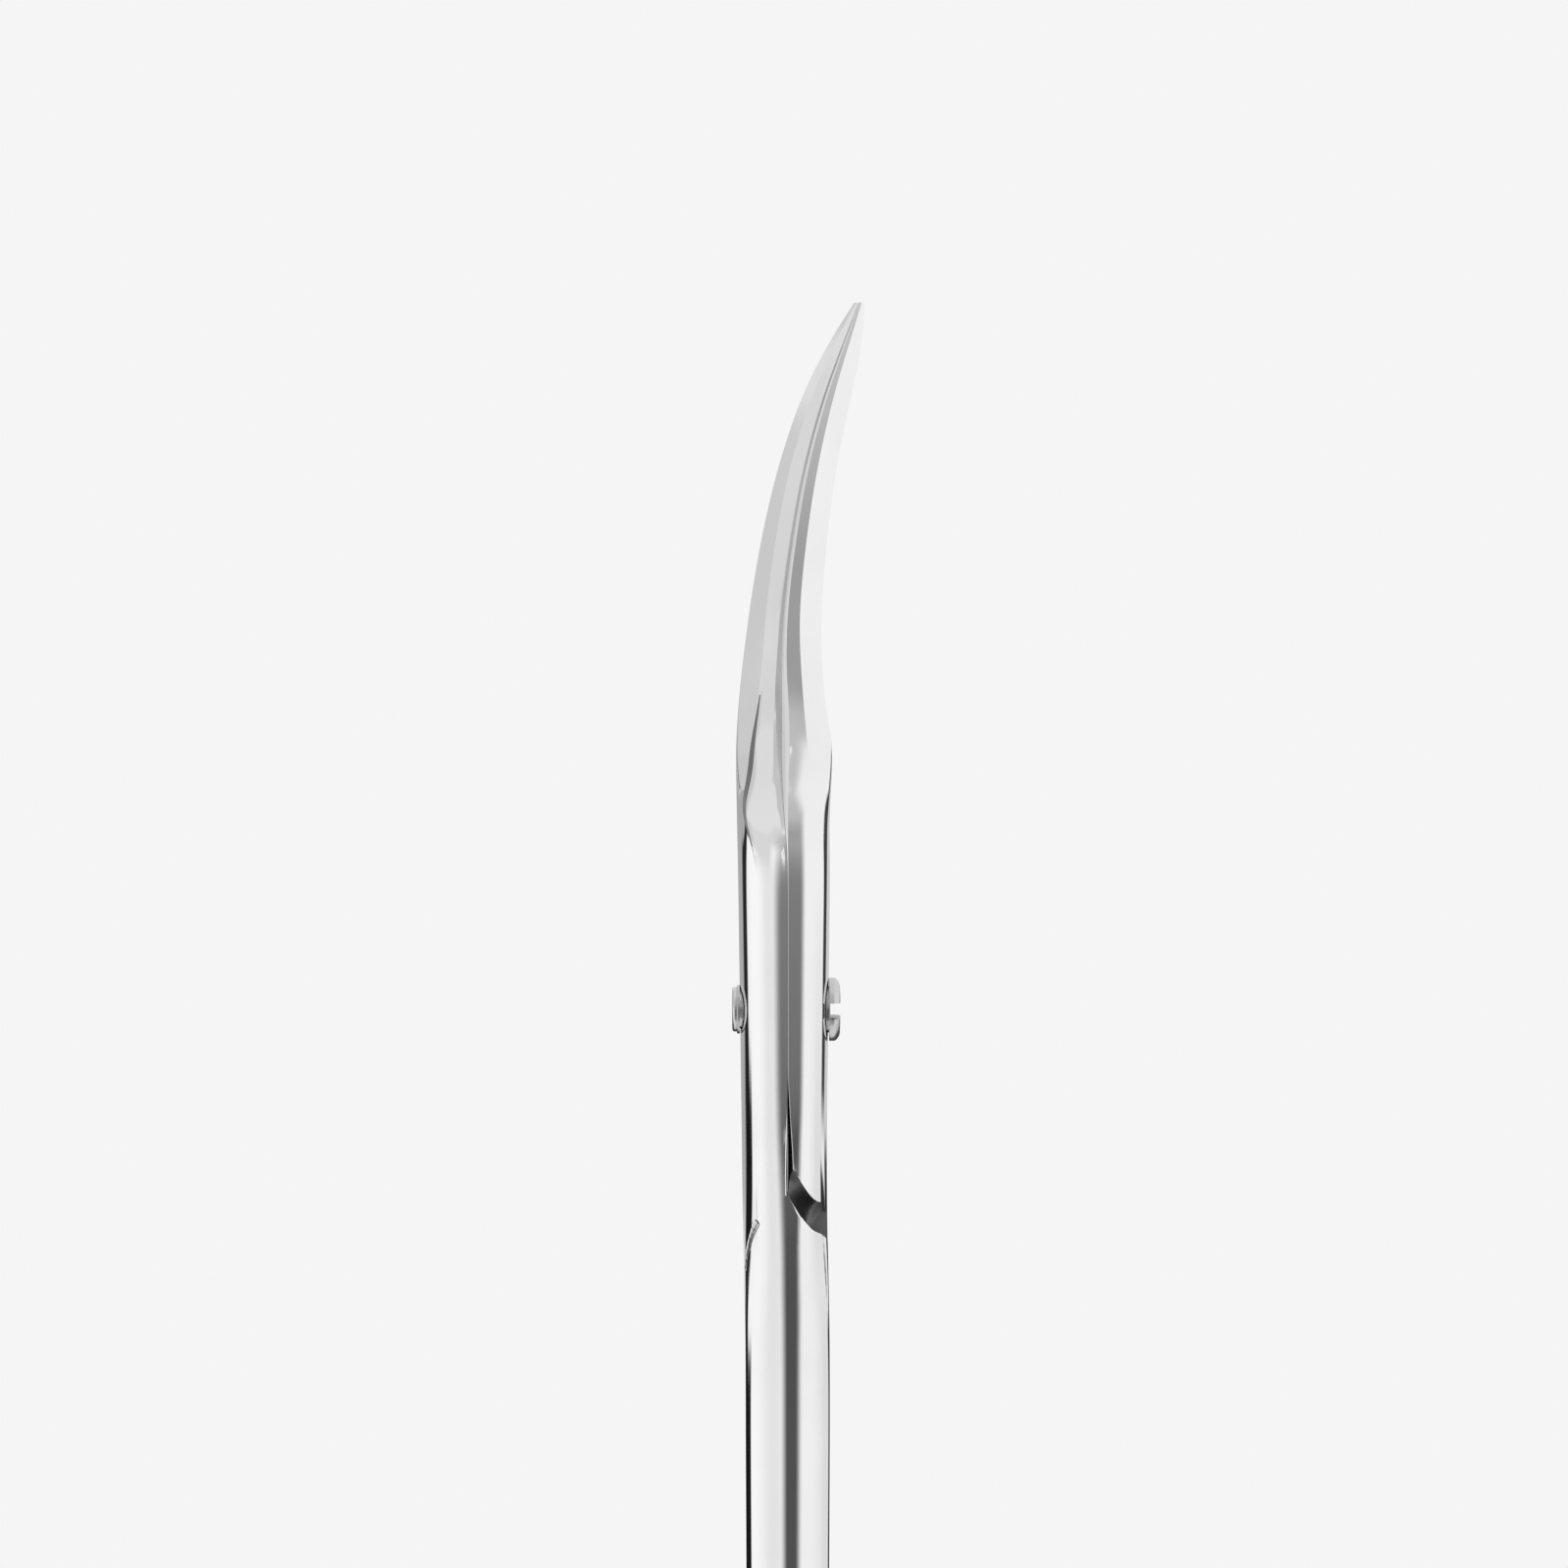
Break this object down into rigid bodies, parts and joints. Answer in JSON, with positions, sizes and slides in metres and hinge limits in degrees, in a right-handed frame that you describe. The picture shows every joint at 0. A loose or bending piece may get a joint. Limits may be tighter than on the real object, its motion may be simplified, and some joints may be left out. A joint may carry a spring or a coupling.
{
  "type": "cuticle scissors",
  "caption": "Fine cuticle scissors with blades curved up to the tips, slim shanks and round finger rings; polished steel halves turn on a slotted pivot screw with a riveted end.",
  "frame": {"origin": "on the pivot axis, in the face of the screw's riveted end, which touches the table when the scissors lie flat", "axes": "+X along the closed blades to the tips, +Z along the pivot axis from the riveted end to the screw head, the way the blades curve up; the lower half's ring is at +Y"},
  "size_m": [0.1119, 0.0526, 0.0068],
  "materials": {
    "polished_steel": "mirror-polished stainless steel",
    "screw_steel": "polished stainless steel, slightly worn at the slot",
    "washer_steel": "fine-turned steel"
  },
  "bodies": {
    "lower_body": {"lower_half": "polished_steel", "pivot_screw": "screw_steel", "rivet_washer": "washer_steel"},
    "upper_body": {"upper_half": "polished_steel"}
  },
  "joints": [
    {"name": "blades_open", "type": "hinge", "parent": "lower_body", "child": "upper_body", "pos_m": [0, 0, 0.00285], "axis": [0, 0, 1], "range_deg": [0, 60]}
  ]
}
